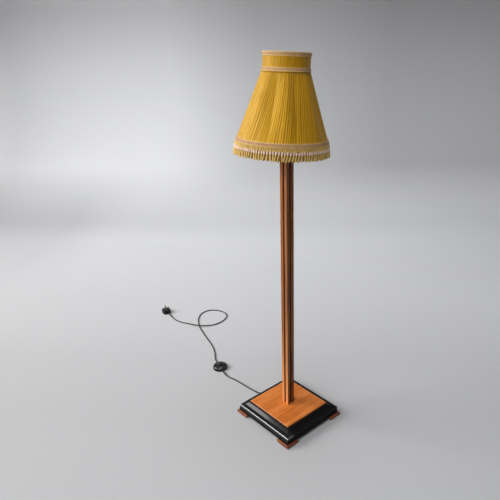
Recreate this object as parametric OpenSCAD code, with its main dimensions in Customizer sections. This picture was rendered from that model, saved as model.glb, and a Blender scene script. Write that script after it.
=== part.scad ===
// Candlestick floor lamp: a square post with ebonised grooves on a stepped ebonised plinth,
// a pleated silk shade hung on a tilting gimbal, and a flex with a foot switch and a plug.
// Millimetres. The origin is on the floor under the post, and +Z is up.
// The sides of the base lie along X and Y. The flex leaves the base at the middle of its +Y side.

/* [Base] */
// Width of the square plinth at its upper arris
base_w = 300; // [290:1:340]
// Height of the feet below the plinth
foot_h = 13; // [11:0.5:18]
// How far the feet stand out beyond the plinth
foot_proud = 10; // [4:0.5:16]
// Length of a foot along each side of its corner
foot_len = 63; // [50:1:80]
// Width of a foot's arm
foot_arm = 36; // [30:1:44]
// Radius of the cove under the end of a foot
foot_cove = 7; // [3:0.5:9]
// Radius on a foot's outer edges, above and below
foot_r = 3.5; // [1:0.25:4]
// Height of the lower fascia of the plinth
fascia_h = 15; // [12:0.5:20]
// How far the lower fascia stands proud of the arris
fascia_proud = 1.5; // [0.5:0.25:3]
// Height of the upper fascia, from the lower one up to the arris
arris_h = 14; // [10:0.5:20]
// Width of the ledge inside the arris
ledge_w = 17; // [12:0.5:20]
// Rise of that ledge towards the middle
ledge_rise = 2.5; // [1:0.5:4]
// Radius on the fascia edges
edge_r = 2; // [1:0.25:3]
// Rise of the slope from the ledge up to the panel
slope_rise = 8.5; // [5:0.5:10]
// Width of the veneered panel
panel_w = 240; // [230:1:244]
// Thickness of the veneered panel
panel_t = 12; // [10:0.5:14]
// Radius on the panel's top edge
panel_r = 9; // [4:0.25:9.5]
// Width of the board inside the moulding
board_w = 210; // [196:1:214]
// Width of the square ballast plate
ballast_w = 180; // [150:1:184]
// Thickness of the ballast plate
ballast_t = 18; // [10:1:20]
// Diameter of the hole in the middle of the ballast plate
ballast_hole = 56; // [50:1:70]

/* [Post] */
// Height of the post above the panel
post_h = 1255; // [1150:5:1300]
// Width of the square post
post_w = 37; // [32:0.5:42]
// Width of the ebonised groove down each face
groove_w = 8; // [4:0.5:10]
// Depth of that groove
groove_d = 4; // [3:0.5:5]
// Chamfer on the post's corners
post_chamfer = 1.5; // [0.4:0.1:2]
// Diameter of the tenon under the post
tenon_d = 24; // [20:0.5:25]
// Length of the tenon
tenon_l = 30; // [24:1:34]

/* [Lampholder and bulb] */
// Diameter of the brass plate on the post
plate_d = 30; // [28:0.5:34]
// Thickness of that plate
plate_t = 3; // [2:0.5:5]
// Outer diameter of the threaded nipple
nipple_d = 10; // [9.5:0.1:11]
// Bore of the nipple
nipple_bore = 7.2; // [7:0.1:8]
// Length of the nipple below the plate
nipple_down = 20; // [12:1:30]
// Length of the nipple above the plate
nipple_up = 12; // [9:1:14]
// Height of the lampholder's brass cap
holder_cap_h = 20; // [18:0.5:26]
// Outer diameter of the lampholder's shell
holder_d = 29; // [28.5:0.1:31]
// Height of the shell above the cap
holder_h = 43; // [41:0.5:48]
// Wall of the shell
holder_wall = 1.6; // [1.2:0.1:1.8]
// Height of the shell's flange above the cap
flange_z = 15; // [14:0.5:17]
// Diameter of the shell's flange
flange_d = 37; // [36:0.5:40]
// Outer diameter of the ring that clamps the shade
clamp_d = 41; // [39:0.5:44]
// Height of the clamping ring
clamp_h = 8; // [6:0.5:10]
// Diameter of the bulb's cap
bulb_cap_d = 22; // [21.5:0.1:22.2]
// Length of the bulb's cap
bulb_cap_l = 26; // [25:0.5:27]
// Diameter of the bulb's glass
bulb_d = 60; // [50:1:62]
// Height of the bulb's glass above its cap
bulb_h = 79; // [72:1:84]
// Wall of the glass
glass_t = 1; // [0.6:0.1:1.5]

/* [Shade] */
// Outer radius of the neck's cover
neck_r = 82.5; // [74:0.5:90]
// Height of the shade's top edge above the post
shade_top = 174.5; // [160:0.5:190]
// Height of the tilting pivot and the neck ring above the post
pivot_up = 120; // [112:0.5:126]
// Outer radius of the skirt at its bottom ring
skirt_r = 165.5; // [150:0.5:185]
// Height of the skirt, from the neck ring down to the bottom ring
skirt_h = 243; // [210:1:260]
// How far each panel of the skirt draws in between the struts
panel_sag = 5; // [2:0.5:10]
// Number of struts
struts = 8; // [6:1:12]
// Pleats in the cover of each panel
panel_pleats = 9; // [6:1:10]
// Depth of the pleats
pleat_d = 1; // [0.4:0.1:1.2]
// Pleats round the neck
neck_pleats = 96; // [60:4:120]
// Thickness of the pleated covers
cover_t = 1.2; // [0.8:0.1:1.6]
// Diameter of the frame's struts
wire_d = 3; // [2.5:0.1:3.5]
// Diameter of the frame's rings
ring_wire_d = 4; // [3.8:0.1:4.5]
// Width of the braid
gimp_w = 14.5; // [10:0.5:18]
// Thickness of the braid
gimp_t = 1.4; // [1:0.1:2]
// How far the braid round the waist reaches above the neck ring
braid_up = 6.5; // [4:0.5:9]
// Length of the fringe below the braid
fringe_h = 47; // [30:1:55]
// How far the fringe swells beyond the skirt's bottom edge
fringe_out = 7; // [5:0.5:10]
// Bundles of loops in the fringe
tassels = 64; // [48:2:72]
// How far the shade hangs out of plumb, in degrees
shade_tilt = 4.3; // [0:0.1:8]

/* [Gimbal] */
// Outer diameter of the fitter ring
fitter_d = 52; // [48:0.5:58]
// Thickness of the fitter ring
fitter_t = 2; // [1.5:0.1:2.5]
// Diameter of the pivot rivets
rivet_d = 3; // [2.5:0.1:3.5]
// Diameter of the eyes that the rivets pass through
eye_d = 9; // [8:0.5:11]
// Thickness of each eye
eye_t = 1.6; // [1.2:0.1:2]
// Distance of the rivets' inner eyes from the axis
eye_r = 71; // [66:0.5:72]

/* [Flex, switch and plug] */
// Diameter of the flex
cord_d = 6; // [5:0.25:6.5]
// Bend of the flex under the post
flex_bend = 20; // [18:1:23]
// Length of the tapered sleeves
sleeve_l = 24; // [20:1:36]
// Radius of a sleeve at its housing
sleeve_r = 4.6; // [4.2:0.1:5]
// Diameter of the foot switch
switch_d = 72; // [64:1:74]
// Height of the switch's lower dish
dish_h = 11; // [10.5:0.5:13]
// Height of the switch's dome above the floor
dome_h = 22.5; // [20:0.5:24]
// Wall of the switch
switch_wall = 2; // [1.5:0.1:2.5]
// Diameter of the button
button_d = 22; // [18:0.5:24]
// How far the button stands out of the dome
button_up = 8; // [5:0.5:8]
// Travel of the button
button_travel = 3; // [1:0.5:3]
// Width of the plug
plug_w = 46; // [44:0.5:50]
// Length of the plug without its sleeve
plug_l = 48; // [46:0.5:52]
// Radius of the plug's corners
plug_r = 15; // [8:0.5:18]
// Height of the plug's cover
plug_cover_h = 15; // [14:0.5:18]
// Thickness of the plate that carries the pins
plug_plate_t = 8; // [6:0.5:10]

/* [Hidden] */
// Clearances
fit = 0.2;        // between pieces that are glued, pressed or screwed together
run_fit = 0.05;   // radial, where a shaft turns in a hole
soft_gap = 0.3;   // between cloth and what it lies on

// Heights from the floor up
arris_z = foot_h + fascia_h + arris_h;
panel_z = arris_z + ledge_rise + slope_rise;
post_z = panel_z + panel_t;
post_top = post_z + post_h;
plate_z = post_top + plate_t;
holder_z = plate_z + holder_cap_h;
flange_t = 2;
seat_z = holder_z + flange_z + flange_t;
clamp_z = seat_z + fitter_t + 2 * fit;
insulator_h = 15;
plunger_up = 3;
bulb_z = holder_z + insulator_h + plunger_up;
glass_z = bulb_z + bulb_cap_l;
pivot_z = post_top + pivot_up;
shade_z = post_top + shade_top;
hem_z = pivot_z - skirt_h;

// Plan sizes of the base
base_half = base_w / 2;
panel_half = panel_w / 2;
board_half = board_w / 2;
foot_out = base_half + foot_proud;
corners = [[-1, -1], [1, -1], [-1, 1], [1, 1]];
foot_screw_at = foot_out - foot_arm * 0.62;
foot_screw_along = foot_out - foot_len * 0.78;
foot_screw_l = 24;
foot_screw_d = 4;
ballast_screw_at = ballast_w / 2 - 16;
ballast_screw_l = 30;
ballast_screw_d = 5;

// Post and flex inside it
post_half = post_w / 2;
core_half = post_half - groove_d;
bore_d = nipple_d + 2 * fit;
cord_r = cord_d / 2;
flex_z = foot_h - sleeve_r - fit;
clip_y = [board_half + 3, base_half - 16];
clip_w = 8;
clip_t = 1.5;
sleeve_start = clip_y[1] - clip_w;
sleeve_tip = base_half + fascia_proud + 14;
sleeve_end_r = cord_r + 0.4;
plate_screw_r = plate_d / 2 - 4.5;

// Shade: the neck and the skirt as radii at a height, before the shade tilts
wire_r = wire_d / 2;
ring_wire_r = ring_wire_d / 2;
neck_ring_r = neck_r - cover_t - pleat_d - soft_gap - ring_wire_r;
hem_ring_r = skirt_r - cover_t - pleat_d - soft_gap - ring_wire_r * 1.2;
strut_turn = 6;
gimbal_turn = strut_turn + 1.5 * 360 / struts;
pleat_count = struts * panel_pleats;
lining_gap = soft_gap + wire_d + 1.2;
lining_t = 0.8;
lining_drop = eye_d / 2 + 2;
lug_t = eye_t;
eye_gap = 0.3;
rivet_head = 1;

// Foot switch: centre, and direction of the flex through it in degrees
switch_at = [-9.5, 481.3];
switch_turn = 73;
sleeve_z = sleeve_r + 0.7;
switch_r = switch_d / 2;
block_h = 8;
switch_screw_r = switch_r - 9.5;
button_r = button_d / 2;
flange_top = dome_h - switch_wall - soft_gap;
spring_r = 6;

// Plug: centre and turn. It lies on its back, so the pins point up.
plug_at = [105, 1173];
plug_turn = -5;
plug_z = sleeve_r + 2.4;
plug_wall = 2;
pin_z = plug_cover_h + plug_plate_t;
pin_half_pitch = 11.1;
earth_up = 11.1;
power_pin = [6.3, 4, 17.7];
earth_pin = [4, 8, 22.7];
fuse_d = 6.3;
fuse_l = 25.4;

// Routes of the flex on the floor, points chosen by hand. At the crossing it passes over itself.
to_switch = [
    [0, 165.5, 8.2], [-1.3, 175.6, 7], [-3.6, 187.3, 5.4], [-6.5, 200.9, 3.8], [-8.6, 216.5, 3.1],
    [-10.7, 235.4, 3], [-12.9, 256.7, 3], [-15, 280, 3], [-16.3, 307.3, 3], [-18.6, 333.1, 3],
    [-22.2, 356.2, 3], [-26.4, 376.1, 3], [-29, 392.3, 3.5], [-29, 408.5, 4.3],
    [-26.2, 426.8, 5.3]
];
to_plug = [
    [7.2, 535.8, 5.3], [13.6, 552, 3.6], [28, 575, 3], [46, 600, 3], [67, 638, 3], [89, 694, 3],
    [109, 762, 3], [131, 833, 3], [152, 891, 3], [184, 947, 3], [220, 989, 3], [260, 1012, 3],
    [298, 1013, 3], [330, 995, 3], [351, 964, 3], [359, 927, 3], [350, 889, 3], [316, 859, 3],
    [270, 846, 3], [224, 849, 3.6], [182, 867, 7], [152, 891, 9.4], [133, 930, 7], [121, 967, 3.6],
    [104, 1002, 3], [95, 1042, 3], [95, 1084, 4.2], [100.7, 1124.2, 7]
];
switch_rings = 18;
plug_rings = 62;
cord_sides = 8;

$fn = 48;

// ---- helpers ----

// A tube or a solid disc on the Z axis
module ring(outer, inner, height) {
    linear_extrude(height) difference() {
        circle(outer);
        if (inner > 0) circle(inner);
    }
}

// A round bar from one point to another
module rod(from, to, d) {
    run = to - from;
    turn = atan2(run[1], run[0]);
    lean = acos(run[2] / norm(run));
    translate(from) rotate([0, lean, turn]) cylinder(d = d, h = norm(run));
}

// A countersunk wood screw, head at z = 0 and point down, with a cross slot
module screw(d, length) {
    head = d * 0.9;
    difference() {
        union() {
            cylinder(r1 = d / 2, r2 = head, h = d * 0.45 + 0.01, center = false);
            translate([0, 0, d * 0.45 - length]) cylinder(d = d, h = length - d * 0.45);
        }
        translate([-head, -0.35, d * 0.3]) cube([2 * head, 0.7, d]);
    }
}

// The room a screw takes in the piece it fastens
module screw_hole(d, length) {
    translate([0, 0, -fit]) cylinder(r1 = d / 2 + fit, r2 = d * 0.9 + fit, h = d * 0.45 + fit);
    translate([0, 0, d * 0.45]) cylinder(r = d * 0.9 + fit, h = 20);
    translate([0, 0, d * 0.45 - length - fit]) cylinder(d = d + 2 * fit, h = length);
}

// Turns the shade out of plumb about its pivots
module tilted() {
    translate([0, 0, pivot_z]) rotate(a = shade_tilt, v = [cos(gimbal_turn), sin(gimbal_turn), 0])
        translate([0, 0, -pivot_z]) children();
}

// A square frame of one profile: x is the distance from the centre, y is the height
module square_frame(reach) {
    for (side = [0:3]) rotate(90 * side) intersection() {
        rotate([90, 0, 0]) linear_extrude(2 * reach, center = true) children();
        linear_extrude(4 * reach, center = true) polygon([[0, 0], [reach, -reach], [reach, reach]]);
    }
}

// A member of the moulding from the board out to u, its top outer edge rounded
module rounded_member(u, z0, z1) {
    inner = board_half + fit;
    translate([inner, z0]) square([u - inner, z1 - z0 - edge_r]);
    translate([inner, z0]) square([u - inner - edge_r, z1 - z0]);
    translate([u - edge_r, z1 - edge_r]) circle(edge_r);
}

// Smooth curve through points, at place s counted in points
function bend(a, b, c, d, t) = 0.5 * (2 * b + (c - a) * t + (2 * a - 5 * b + 4 * c - d) * t * t
    + (3 * b - a - 3 * c + d) * t * t * t);
function on_route(p, s) = let(n = len(p) - 1, i = min(floor(s), n - 1),
    a = i == 0 ? 2 * p[0] - p[1] : p[i - 1], d = i + 2 > n ? 2 * p[n] - p[n - 1] : p[i + 2])
    bend(a, p[i], p[i + 1], d, s - i);
function unit(v) = v / norm(v);
function rings_at(p, n) = [for (i = [0:n - 1]) on_route(p, i * (len(p) - 1) / (n - 1))];
function heading(q, i) = unit(q[min(i + 1, len(q) - 1)] - q[max(i - 1, 0)]);
function route_length(q, i = 1) = i >= len(q) ? 0 : norm(q[i] - q[i - 1]) + route_length(q, i + 1);

// A round tube swept along the smooth route; its end faces stand square to the given directions
module cord_tube(points, rings, start_dir, end_dir) {
    q = rings_at(points, rings);
    verts = [for (i = [0:rings - 1]) let(
        h = i == 0 ? unit(start_dir) : i == rings - 1 ? unit(end_dir) : heading(q, i),
        side = unit(cross(h, [0, 0, 1])), up = cross(side, h))
        for (k = [0:cord_sides - 1]) let(a = 360 * (k + 0.5) / cord_sides)
            q[i] + cord_r * (cos(a) * side + sin(a) * up)];
    walls = [for (i = [0:rings - 2], k = [0:cord_sides - 1]) let(
        a = i * cord_sides + k, b = i * cord_sides + (k + 1) % cord_sides)
        each [[a, b, a + cord_sides], [b, b + cord_sides, a + cord_sides]]];
    last = (rings - 1) * cord_sides;
    start_cap = [for (k = [1:cord_sides - 2]) [0, k + 1, k]];
    end_cap = [for (k = [1:cord_sides - 2]) [last, last + k, last + k + 1]];
    polyhedron([for (v = verts) v], concat(walls, start_cap, end_cap), convexity = 8);
}

// ---- base ----

module foot(sx, sy) color("#a4532a")
    mirror([sx < 0 ? 1 : 0, 0, 0]) mirror([0, sy < 0 ? 1 : 0, 0]) difference() {
        intersection() {
            square_frame(foot_out + 1) {
                translate([foot_out - foot_arm, 0]) square([foot_arm - foot_r, foot_h]);
                translate([foot_out - foot_arm, foot_r]) square([foot_arm, foot_h - 2 * foot_r]);
                for (z = [foot_r, foot_h - foot_r]) translate([foot_out - foot_r, z]) circle(foot_r);
            }
            translate([foot_out - foot_len, foot_out - foot_len, -1])
                cube([foot_len + 1, foot_len + 1, foot_h + 2]);
        }
        // the cove under the end of each arm
        translate([foot_out - foot_len, foot_out - foot_arm - 1, 0]) rotate([-90, 0, 0])
            cylinder(r = foot_cove, h = foot_arm + 2);
        translate([foot_out - foot_arm - 1, foot_out - foot_len, 0]) rotate([0, 90, 0])
            cylinder(r = foot_cove, h = foot_arm + 2);
        foot_screw_places() screw_hole(foot_screw_d, foot_screw_l);
    }

module foot_screw_places() {
    for (p = [[foot_screw_at, foot_screw_along], [foot_screw_along, foot_screw_at]])
        translate([p[0], p[1], foot_screw_d * 0.45 + 1]) mirror([0, 0, 1]) children();
}

module foot_screws() color("#8a8a86")
    for (c = corners) mirror([c[0] < 0 ? 1 : 0, 0, 0]) mirror([0, c[1] < 0 ? 1 : 0, 0])
        foot_screw_places() screw(foot_screw_d, foot_screw_l);

module plinth_moulding() color("#15130f") difference() {
    square_frame(base_half + fascia_proud + 1) {
        rounded_member(base_half + fascia_proud, foot_h, foot_h + fascia_h);
        rounded_member(base_half, foot_h + fascia_h - edge_r, arris_z);
        polygon([[board_half + fit, arris_z - edge_r], [base_half - edge_r, arris_z - edge_r],
            [base_half - edge_r, arris_z], [base_half - ledge_w, arris_z + ledge_rise],
            [panel_half, panel_z], [board_half + fit, panel_z]]);
    }
    for (c = corners) mirror([c[0] < 0 ? 1 : 0, 0, 0]) mirror([0, c[1] < 0 ? 1 : 0, 0])
        foot_screw_places() screw_hole(foot_screw_d, foot_screw_l);
    clip_screw_places() screw_hole(3, 12);
}

module plinth_board() color("#3a2618") difference() {
    translate([-board_half, -board_half, foot_h]) cube([board_w, board_w, panel_z - foot_h]);
    pocket = ballast_w + 2 * fit;
    translate([-pocket / 2, -pocket / 2, foot_h - 1]) cube([pocket, pocket, ballast_t + 1]);
    translate([0, 0, foot_h]) cylinder(d = tenon_d + 2 * fit, h = panel_z);
    ballast_screw_places() screw_hole(ballast_screw_d, ballast_screw_l);
    for (c = corners) mirror([c[0] < 0 ? 1 : 0, 0, 0]) mirror([0, c[1] < 0 ? 1 : 0, 0])
        foot_screw_places() screw_hole(foot_screw_d, foot_screw_l);
    clip_screw_places() screw_hole(3, 12);
}

module rounded_slab_profile(half, z0, t, r) intersection() {
    union() {
        translate([-half, z0]) square([2 * half, t - r]);
        translate([-half + r, z0]) square([2 * half - 2 * r, t]);
        for (s = [-1, 1]) translate([s * (half - r), z0 + t - r]) circle(r);
    }
    translate([-half, z0]) square([2 * half, t]);
}

module top_panel() color("#c8692f") difference() {
    intersection() {
        rotate([90, 0, 0]) linear_extrude(panel_w, center = true)
            rounded_slab_profile(panel_half, panel_z, panel_t, panel_r);
        rotate([90, 0, 90]) linear_extrude(panel_w, center = true)
            rounded_slab_profile(panel_half, panel_z, panel_t, panel_r);
    }
    translate([0, 0, panel_z - 1]) cylinder(d = tenon_d + 2 * fit, h = panel_t + 2);
}

module ballast_screw_places() {
    for (c = corners) translate([c[0] * ballast_screw_at, c[1] * ballast_screw_at,
        foot_h + ballast_screw_d * 0.45]) mirror([0, 0, 1]) children();
}

module ballast_plate() color("#4a4a4c") difference() {
    translate([-ballast_w / 2, -ballast_w / 2, foot_h]) cube([ballast_w, ballast_w, ballast_t]);
    translate([0, 0, foot_h - 1]) cylinder(d = ballast_hole, h = ballast_t + 2);
    ballast_screw_places() screw_hole(ballast_screw_d, ballast_screw_l);
}

module ballast_screws() color("#8a8a86") ballast_screw_places()
    screw(ballast_screw_d, ballast_screw_l);

// ---- post ----

module post_core() color("#1b1410") difference() {
    union() {
        translate([-core_half, -core_half, post_z]) cube([2 * core_half, 2 * core_half, post_h]);
        translate([0, 0, post_z - tenon_l]) cylinder(d = tenon_d, h = tenon_l + 1);
    }
    translate([0, 0, post_z - tenon_l - 1]) cylinder(d = bore_d, h = post_h + tenon_l + 2);
    plate_screw_places() screw_hole(2.5, 14);
}

module stave(sx, sy) color("#b4602c")
    mirror([sx < 0 ? 1 : 0, 0, 0]) mirror([0, sy < 0 ? 1 : 0, 0])
        translate([0, 0, post_z]) linear_extrude(post_h) polygon([
            [groove_w / 2, core_half], [groove_w / 2, post_half - post_chamfer / 2],
            [groove_w / 2 + post_chamfer / 2, post_half], [post_half - post_chamfer, post_half],
            [post_half, post_half - post_chamfer], [post_half, groove_w / 2 + post_chamfer / 2],
            [post_half - post_chamfer / 2, groove_w / 2], [core_half, groove_w / 2],
            [core_half, core_half]]);

module post_top_plate() color("#b58b3c") difference() {
    translate([0, 0, post_top]) ring(plate_d / 2, bore_d / 2, plate_t);
    plate_screw_places() screw_hole(2.5, 14);
}

module plate_screw_places() {
    for (i = [0:2]) rotate(45 + 120 * i) translate([plate_screw_r, 0, plate_z - 2.5 * 0.45])
        children();
}

module top_plate_screws() color("#b58b3c") plate_screw_places() screw(2.5, 14);

module threaded_nipple() color("#b58b3c") translate([0, 0, post_top - nipple_down])
    ring(nipple_d / 2, nipple_bore / 2, nipple_down + plate_t + nipple_up);

// ---- lampholder and bulb ----

module lampholder_cap() color("#b58b3c") rotate_extrude() {
    inner = nipple_d / 2 + fit;
    outer = holder_d / 2 + 1.5;
    translate([inner, plate_z]) square([3.2, nipple_up - 1]);
    polygon([[inner, plate_z + nipple_up - 4], [inner + 3.2, plate_z + nipple_up - 4],
        [outer - 3, holder_z - 7], [outer, holder_z - 4], [outer, holder_z + 4],
        [holder_d / 2 + fit, holder_z + 4], [holder_d / 2 + fit, holder_z],
        [holder_d / 2 - holder_wall, holder_z], [holder_d / 2 - holder_wall, holder_z - 4],
        [inner, plate_z + nipple_up - 1]]);
}

module lampholder_insulator() color("#2b1a12") difference() {
    translate([0, 0, holder_z]) cylinder(r = holder_d / 2 - holder_wall - fit, h = insulator_h);
    plunger_places() translate([0, 0, holder_z + 4]) cylinder(r = 1.75 + run_fit, h = insulator_h);
    for (s = [-1, 1]) translate([0, 9 * s, holder_z - 1]) cylinder(r = 1.5, h = insulator_h + 2);
}

module plunger_places() for (s = [-1, 1]) translate([5.5 * s, 0, 0]) children();

module lampholder_plungers() color("#b58b3c") plunger_places()
    translate([0, 0, holder_z + 4]) cylinder(r = 1.75, h = insulator_h - 4 + plunger_up);

module lampholder_shell() color("#c39a4b") difference() {
    union() {
        translate([0, 0, holder_z])
            ring(holder_d / 2, holder_d / 2 - holder_wall, holder_h);
        translate([0, 0, holder_z + flange_z])
            ring(flange_d / 2, holder_d / 2 - holder_wall, flange_t);
    }
    // the two bayonet slots
    for (s = [0, 180]) rotate(s) {
        translate([holder_d / 2 - 3, -1.4, holder_z + holder_h - 12]) cube([6, 2.8, 13]);
        translate([holder_d / 2 - 3, -1.4, holder_z + holder_h - 12]) cube([6, 6, 2.8]);
    }
}

module clamp_ring() color("#b58b3c") translate([0, 0, clamp_z]) difference() {
    ring(clamp_d / 2, holder_d / 2 + fit, clamp_h);
    for (i = [0:23]) rotate(15 * i) translate([clamp_d / 2 + 0.6, 0, -1])
        cylinder(r = 1.2, h = clamp_h + 2);
}

module bulb_cap() color("#c9c3b4") {
    translate([0, 0, bulb_z + fit]) cylinder(d = bulb_cap_d, h = bulb_cap_l - fit);
    translate([0, 0, holder_z + holder_h - 10.6]) rotate([0, 90, 0])
        cylinder(r = 1, h = holder_d - 0.6, center = true);
}

// Radius of the glass at a share t of its height: a neck, a swelling and a round top
bulb_neck_r = bulb_cap_d / 2 - fit;
function glass_r(t) = let(belly = bulb_d / 2, mid = bulb_h - belly, z = t * bulb_h)
    z >= mid ? sqrt(max(0, belly * belly - pow(z - mid, 2)))
    : bulb_neck_r + (belly - bulb_neck_r) * pow(sin(90 * z / mid), 1.5);

module bulb_glass() color("#f2efe6") translate([0, 0, glass_z]) rotate_extrude() {
    steps = 20;
    wall = [for (i = [0:steps]) [glass_r(i / steps), bulb_h * i / steps]];
    inside = [for (i = [0:steps]) let(t = (steps - i) / steps,
        r = max(0, glass_r(t) - glass_t)) [r, min(bulb_h * t, bulb_h - glass_t)]];
    polygon(concat(wall, inside));
}

// ---- flex inside the lamp ----

module inner_flex() color("#1d1c1b") {
    rise = flex_z + flex_bend;
    translate([0, 0, rise]) cylinder(r = cord_r, h = plate_z + nipple_up + 3 - rise);
    translate([0, flex_bend, rise]) rotate([-90, 0, -90]) rotate_extrude(angle = 90)
        translate([flex_bend, 0]) circle(cord_r);
    translate([0, flex_bend, flex_z]) rotate([-90, 0, 0])
        cylinder(r = cord_r, h = sleeve_start - flex_bend);
}

module clip_screw_places() {
    for (y = clip_y, s = [-1, 1]) translate([s * (sleeve_r + 6), y, flex_z + sleeve_r - 1.2])
        mirror([0, 0, 1]) children();
}

module cable_clips() color("#a9a69c") difference() {
    for (i = [0:1]) let(r = i == 0 ? cord_r + fit : sleeve_r + fit) {
        translate([0, clip_y[i] + clip_w / 2, 0]) rotate([90, 0, 0]) linear_extrude(clip_w)
            difference() {
                union() {
                    translate([0, flex_z]) circle(r + clip_t);
                    translate([-r - clip_t, flex_z]) square([2 * (r + clip_t), foot_h - flex_z]);
                    translate([-sleeve_r - 10, foot_h - clip_t - fit])
                        square([2 * sleeve_r + 20, clip_t]);
                }
                translate([0, flex_z]) circle(r);
                translate([-r, flex_z]) square([2 * r, foot_h]);
                translate([-sleeve_r - 11, foot_h - fit]) square([2 * sleeve_r + 22, 10]);
            }
    }
    clip_screw_places() screw_hole(3, 12);
}

module clip_screws() color("#8a8a86") clip_screw_places() screw(3, 12);

module outlet_sleeve() color("#1d1c1b") translate([0, sleeve_start, flex_z]) rotate([-90, 0, 0]) {
    straight = 2 * clip_w;
    cylinder(r = sleeve_r, h = straight);
    translate([0, 0, straight]) cylinder(r1 = sleeve_r, r2 = sleeve_end_r,
        h = sleeve_tip - sleeve_start - straight);
}

// ---- flex on the floor and its foot switch ----

switch_dir = [cos(switch_turn), sin(switch_turn), 0];
module cord_to_switch() color("#262626")
    cord_tube(to_switch, switch_rings, [0, 1, 0], switch_dir);

module at_switch() translate([switch_at[0], switch_at[1], 0]) rotate(switch_turn) children();

module switch_sleeve_hole() for (s = [0, 180]) rotate(s) translate([0, 0, sleeve_z])
    rotate([0, 90, 0]) cylinder(r = sleeve_r + fit, h = switch_r + 5);

module switch_screw_places() for (s = [-1, 1]) translate([0, s * switch_screw_r, 0]) children();

module switch_dish() color("#191918") at_switch() difference() {
    union() {
        ring(switch_r - 1, 0, switch_wall);
        translate([0, 0, 0.6]) ring(switch_r, switch_r - switch_wall, dish_h - 0.6);
        switch_screw_places() cylinder(r = 4, h = dish_h);
    }
    switch_sleeve_hole();
    switch_screw_places() translate([0, 0, 1.35 + 0.3]) mirror([0, 0, 1]) screw_hole(3, 13);
}

// The dome's outer line from its rim to the button's hole
function dome_line(r0, z1, n) = [for (i = [0:n]) let(a = 72 * i / n)
    [r0 - (r0 - 16) * (1 - cos(a)) / (1 - cos(72)), dish_h + (z1 - dish_h) * sin(a) / sin(72)]];

module switch_dome() color("#191918") at_switch() difference() {
    hole_r = button_r + soft_gap;
    union() {
        rotate_extrude() polygon(concat(dome_line(switch_r, dome_h, 9), [[hole_r, dome_h],
            [hole_r, dome_h - switch_wall]],
            [for (i = [0:9]) dome_line(switch_r - switch_wall, dome_h - switch_wall, 9)[9 - i]]));
        switch_screw_places() translate([0, 0, dish_h + fit]) cylinder(r = 3.5, h = 7);
    }
    switch_screw_places() translate([0, 0, 1.35 + 0.3]) mirror([0, 0, 1]) screw_hole(3, 13);
}

module switch_block() color("#c9b995") at_switch() difference() {
    translate([-13, -9, switch_wall]) cube([26, 18, block_h]);
    for (x = [-9, 9]) translate([x, 0, switch_wall + 3]) cylinder(r = 2, h = block_h);
}

module switch_button() color("#222220") at_switch() {
    top = dome_h + button_up;
    difference() {
        union() {
            translate([0, 0, flange_top - 1.5]) cylinder(r = button_r + 1.5, h = 1.5);
            translate([0, 0, flange_top - 1.5]) cylinder(r = button_r, h = top - 1.2 - flange_top + 1.5);
            translate([0, 0, top - 1.2]) cylinder(r1 = button_r, r2 = button_r - 1.2, h = 1.2);
        }
        translate([0, 0, flange_top - 2]) cylinder(r = button_r - 2, h = top - flange_top - 0.5);
        // the finger dish in the top
        translate([0, 0, top + 40 - 0.8]) sphere(r = 40, $fn = 64);
    }
}

module switch_spring() color("#a8a8a8") at_switch() translate([0, 0, switch_wall + block_h])
    ring(spring_r, spring_r - 1, dome_h + button_up - 2.5 - switch_wall - block_h);

module switch_screws() color("#8a8a86") at_switch() switch_screw_places()
    translate([0, 0, 1.35 + 0.3]) mirror([0, 0, 1]) screw(3, 13);

module switch_sleeves() color("#1d1c1b") at_switch() for (s = [0, 180]) rotate(s)
    translate([switch_r - 4, 0, sleeve_z]) rotate([0, 90, 0]) {
        cylinder(r = sleeve_r, h = 4);
        translate([0, 0, 4]) cylinder(r1 = sleeve_r, r2 = sleeve_end_r, h = sleeve_l - 3);
    }

plug_dir = [-sin(plug_turn), cos(plug_turn), 0];
module cord_to_plug() color("#262626")
    cord_tube(to_plug, plug_rings, switch_dir, plug_dir);

// ---- plug, lying on its back ----

module at_plug() translate([plug_at[0], plug_at[1], 0]) rotate(plug_turn) children();

module rounded_rect(w, l, r) {
    square([w - 2 * r, l], center = true);
    square([w, l - 2 * r], center = true);
    for (x = [-1, 1], y = [-1, 1]) translate([x * (w / 2 - r), y * (l / 2 - r)]) circle(r);
}

module plug_cover() color("#171716") at_plug() difference() {
    union() {
        linear_extrude(1.5) rounded_rect(plug_w - 3, plug_l - 3, plug_r - 1.5);
        translate([0, 0, 1.5]) linear_extrude(plug_cover_h - 1.5)
            rounded_rect(plug_w, plug_l, plug_r);
    }
    difference() {
        translate([0, 0, plug_wall]) linear_extrude(plug_cover_h)
            rounded_rect(plug_w - 2 * plug_wall, plug_l - 2 * plug_wall, plug_r - plug_wall);
        cylinder(r = 4, h = plug_cover_h - 1);
    }
    translate([0, 0, plug_wall + 2]) cylinder(d = 3 + 2 * fit, h = plug_cover_h);
    translate([0, -plug_l / 2 + 8, plug_z]) rotate([90, 0, 0]) cylinder(r = sleeve_r + fit, h = 20);
}

module plug_plate() color("#1d1d1c") at_plug() difference() {
    union() {
        translate([0, 0, plug_cover_h]) linear_extrude(plug_plate_t - 1)
            rounded_rect(plug_w, plug_l, plug_r);
        translate([0, 0, pin_z - 1]) linear_extrude(1)
            rounded_rect(plug_w - 2, plug_l - 2, plug_r - 1);
    }
    for (s = [-1, 1]) translate([s * pin_half_pitch, -earth_up, pin_z])
        cube([power_pin[0] + 2 * fit, power_pin[1] + 2 * fit, 40], center = true);
    translate([0, earth_up, pin_z])
        cube([earth_pin[0] + 2 * fit, earth_pin[1] + 2 * fit, 40], center = true);
    translate([0, 0, pin_z - 3 * 0.45]) screw_hole(3, 18);
}

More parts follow.
